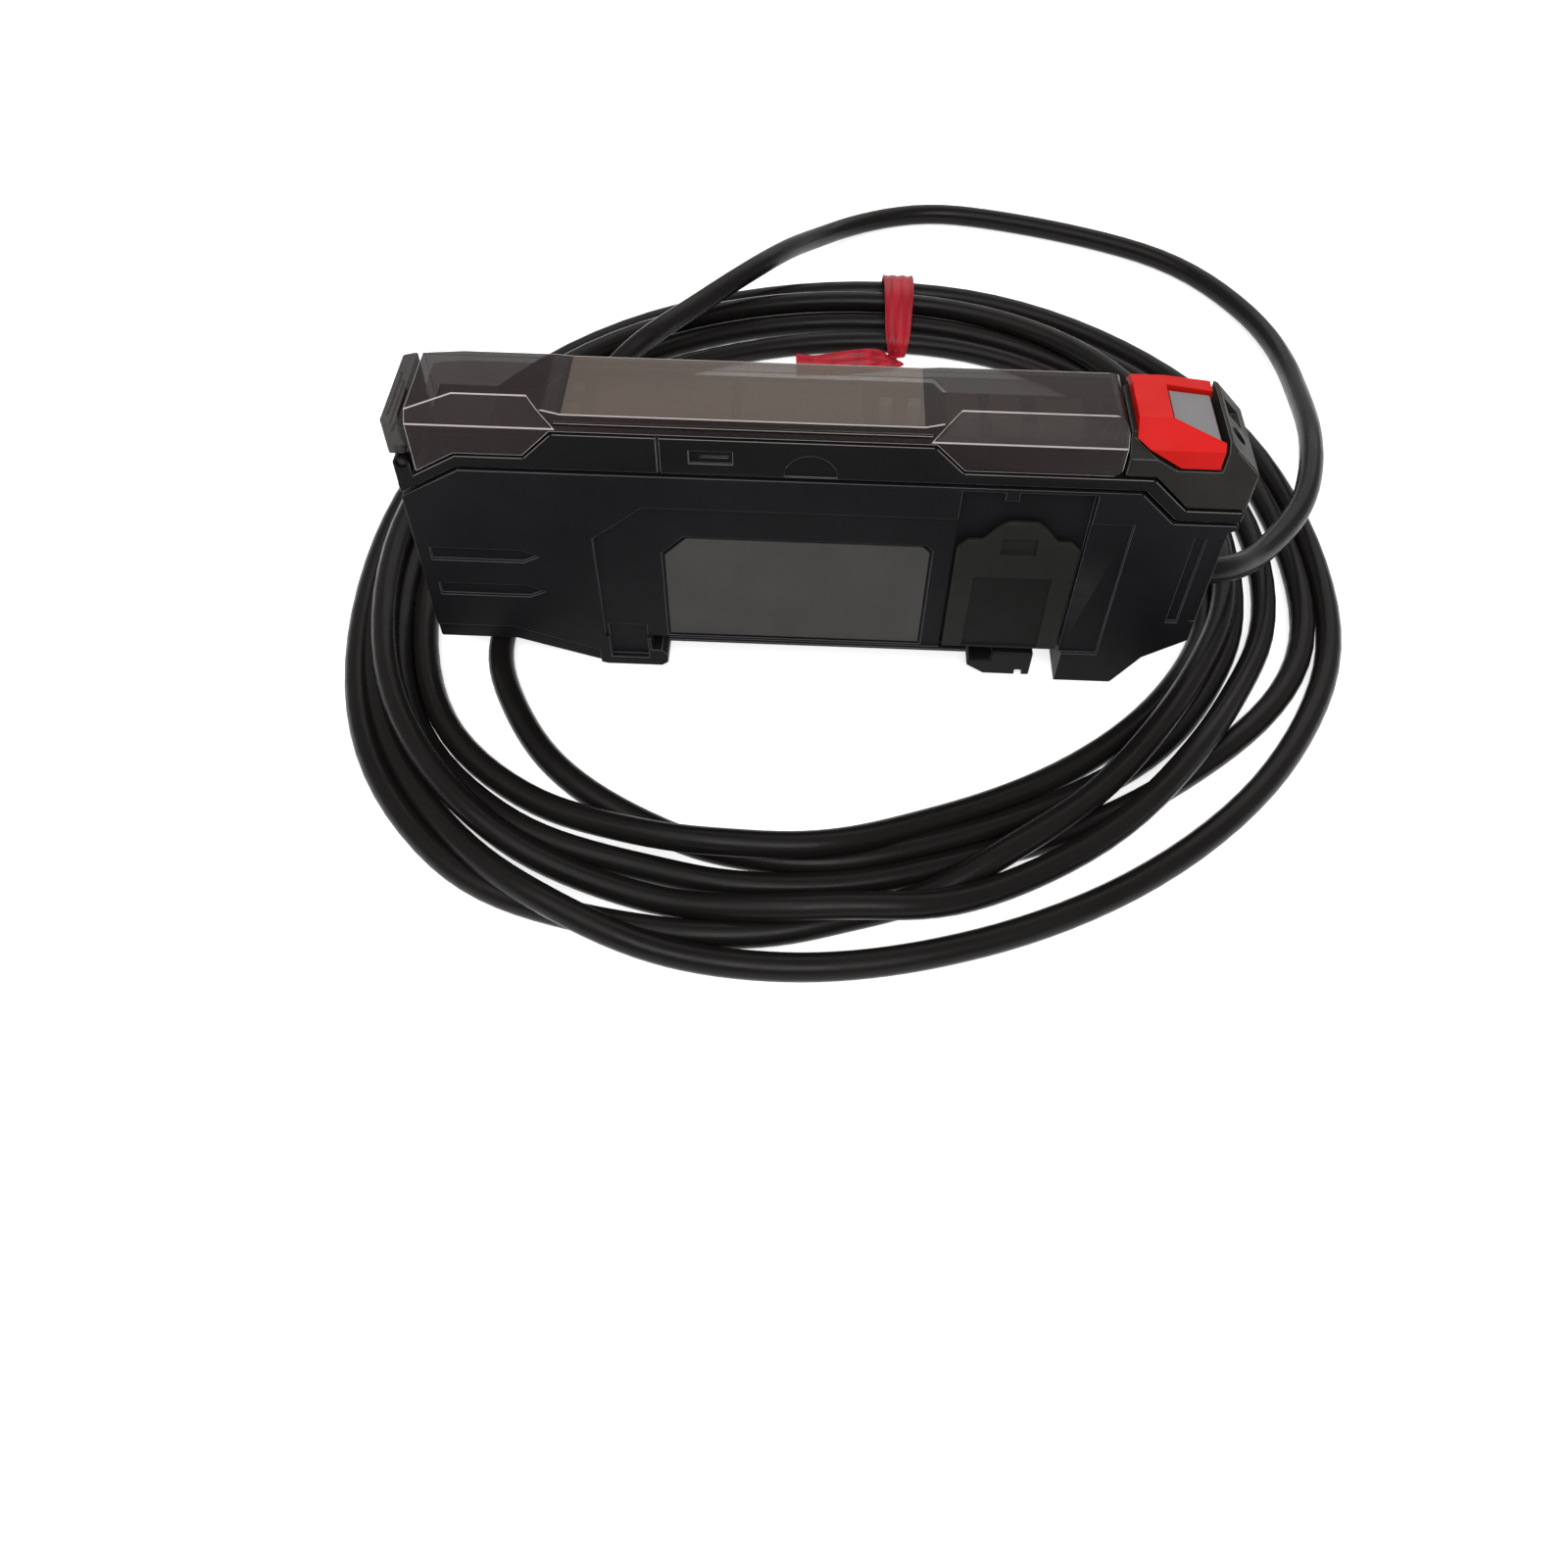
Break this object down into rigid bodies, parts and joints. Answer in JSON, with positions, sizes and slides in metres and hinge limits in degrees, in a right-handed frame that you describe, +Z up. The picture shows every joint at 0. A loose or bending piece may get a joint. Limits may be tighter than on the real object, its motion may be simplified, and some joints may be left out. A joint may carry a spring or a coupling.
{
  "type": "fibre optic sensor amplifier",
  "caption": "Slim DIN-rail fibre optic sensor amplifier with a smoked hinged cover over keys and digit displays, red end frame, rail latch and a coiled fixed cable.",
  "frame": {"origin": "middle of the body's footprint, on the surface it stands on", "axes": "+X from the fibre end to the cable end, +Y from the labelled side to the plain side, +Z up from the rail foot to the cover"},
  "size_m": [0.1134, 0.1318, 0.0326],
  "materials": {
    "case_black": "fine spark-eroded black plastic",
    "plate_grey": "bare grey plate",
    "bezel_black": "satin black plastic",
    "smoke_cover": "clear smoked plastic",
    "smoke_lever": "smoked plastic",
    "end_black": "satin dark plastic",
    "frame_red": "glossy red plastic",
    "badge_grey": "bare satin grey plate",
    "holder_black": "black plastic",
    "bush_black": "black soft plastic",
    "clamp_grey": "grey plastic",
    "emitter_red": "clear red resin",
    "receiver_dark": "dark resin",
    "board_green": "green solder mask",
    "display_red": "dark red filter",
    "display_green": "dark yellow-green filter",
    "lamp_orange": "orange lens",
    "lamp_green": "green lens",
    "key_yellow": "satin yellow plastic",
    "key_grey": "satin grey plastic",
    "switch_white": "pale plastic",
    "latch_black": "satin black plastic",
    "socket_black": "black plastic with metal contacts",
    "cap_olive": "dark olive-grey plastic",
    "gland_rubber": "black rubber",
    "cable_black": "satin black cable jacket",
    "tie_red": "crimson plastic twist tie",
    "core_brown": "brown core insulation",
    "core_blue": "blue core insulation",
    "core_black": "black core insulation",
    "core_white": "white core insulation"
  },
  "bodies": {
    "amplifier": {"lower_case": "case_black", "rating_plate": "plate_grey", "upper_bezel": "bezel_black", "end_block": "end_black", "red_frame": "frame_red", "frame_badge": "badge_grey", "fibre_holder": "holder_black", "fibre_bush_upper": "bush_black", "fibre_bush_lower": "bush_black", "fibre_clamp": "clamp_grey", "emitter_led": "emitter_red", "receiver_diode": "receiver_dark", "main_board": "board_green", "display_board": "board_green", "display_left": "display_red", "display_right": "display_green", "output_lamp": "lamp_orange", "power_lamp": "lamp_green", "expansion_socket": "socket_black", "cable_gland": "gland_rubber", "cable_lead": "cable_black", "cable_tail": "cable_black", "cable_coil": "cable_black", "cable_tie": "tie_red", "cable_core_1": "core_brown", "cable_core_2": "core_blue", "cable_core_3": "core_black", "cable_core_4": "core_white"},
    "cover": {"dust_cover": "smoke_cover"},
    "lever": {"lock_lever": "smoke_lever"},
    "set_key": {"set_button": "key_yellow"},
    "mode_key": {"mode_button": "key_grey"},
    "preset_key": {"preset_button": "key_grey"},
    "rocker": {"adjust_rocker": "key_grey"},
    "output_knob": {"output_switch": "switch_white"},
    "channel_knob": {"channel_switch": "switch_white"},
    "latch": {"din_latch": "latch_black"},
    "cap": {"connector_cap": "cap_olive"}
  },
  "joints": [
    {"name": "cover_hinge", "type": "hinge", "parent": "amplifier", "child": "cover", "pos_m": [0.0259, 0, 0.0311], "axis": [0, 1, 0], "range_deg": [0, 90]},
    {"name": "lever_turn", "type": "hinge", "parent": "amplifier", "child": "lever", "pos_m": [-0.03845, 0, 0.02615], "axis": [0, -1, 0], "range_deg": [0, 75]},
    {"name": "set_press", "type": "slide", "parent": "amplifier", "child": "set_key", "axis": [0, 0, -1], "range_m": [0, 0.0004], "stiffness_N_per_m": 300, "springref_m": -0.0003},
    {"name": "mode_press", "type": "slide", "parent": "amplifier", "child": "mode_key", "axis": [0, 0, -1], "range_m": [0, 0.0004], "stiffness_N_per_m": 300, "springref_m": -0.0003},
    {"name": "preset_press", "type": "slide", "parent": "amplifier", "child": "preset_key", "axis": [0, 0, -1], "range_m": [0, 0.0004], "stiffness_N_per_m": 300, "springref_m": -0.0003},
    {"name": "rocker_tilt", "type": "hinge", "parent": "amplifier", "child": "rocker", "pos_m": [0.0214, 0, 0.0281], "axis": [0, 1, 0], "range_deg": [-4, 4], "stiffness_Nm_per_rad": 0.01},
    {"name": "output_slide", "type": "slide", "parent": "amplifier", "child": "output_knob", "axis": [0, -1, 0], "range_m": [0, 0.002]},
    {"name": "channel_slide", "type": "slide", "parent": "amplifier", "child": "channel_knob", "axis": [0, -1, 0], "range_m": [0, 0.002]},
    {"name": "latch_slide", "type": "slide", "parent": "amplifier", "child": "latch", "axis": [1, 0, 0], "range_m": [0, 0.0022], "stiffness_N_per_m": 800, "springref_m": -0.0005},
    {"name": "cap_pull", "type": "slide", "parent": "amplifier", "child": "cap", "axis": [0, -1, 0], "range_m": [0, 0.008]}
  ]
}
